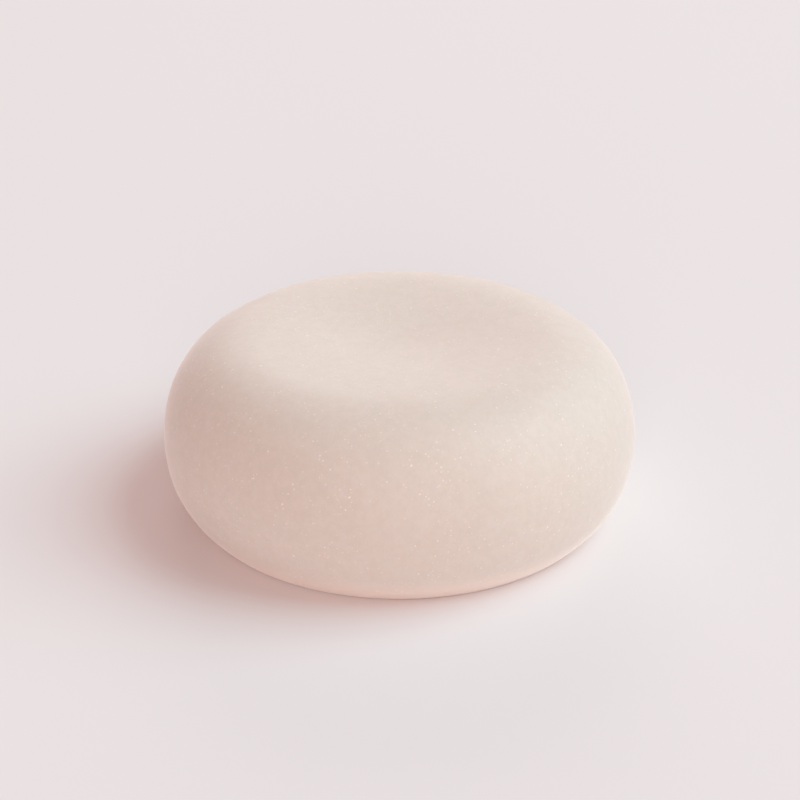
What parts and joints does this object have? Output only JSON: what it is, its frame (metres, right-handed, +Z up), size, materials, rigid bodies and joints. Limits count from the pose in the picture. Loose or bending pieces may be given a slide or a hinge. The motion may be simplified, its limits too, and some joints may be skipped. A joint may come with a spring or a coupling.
{
  "type": "shampoo bar",
  "caption": "Plump round shampoo bar with a softly dished top, a rounded rim, a full flank and a flat foot, pressed in one piece, matte pale beige with fine pale flecks.",
  "frame": {"origin": "centre of the flat foot, on the surface that the bar stands on", "axes": "+Z up along the axis of revolution, from the foot to the dished top; the bar is round, so +X and +Y are alike"},
  "size_m": [0.064, 0.064, 0.0241],
  "materials": {
    "soap": "matte waxy soap, pale beige with a faint pink warmth, fine pale flecks and a faint mottle"
  },
  "bodies": {
    "root": {"bar": "soap"}
  },
  "joints": []
}
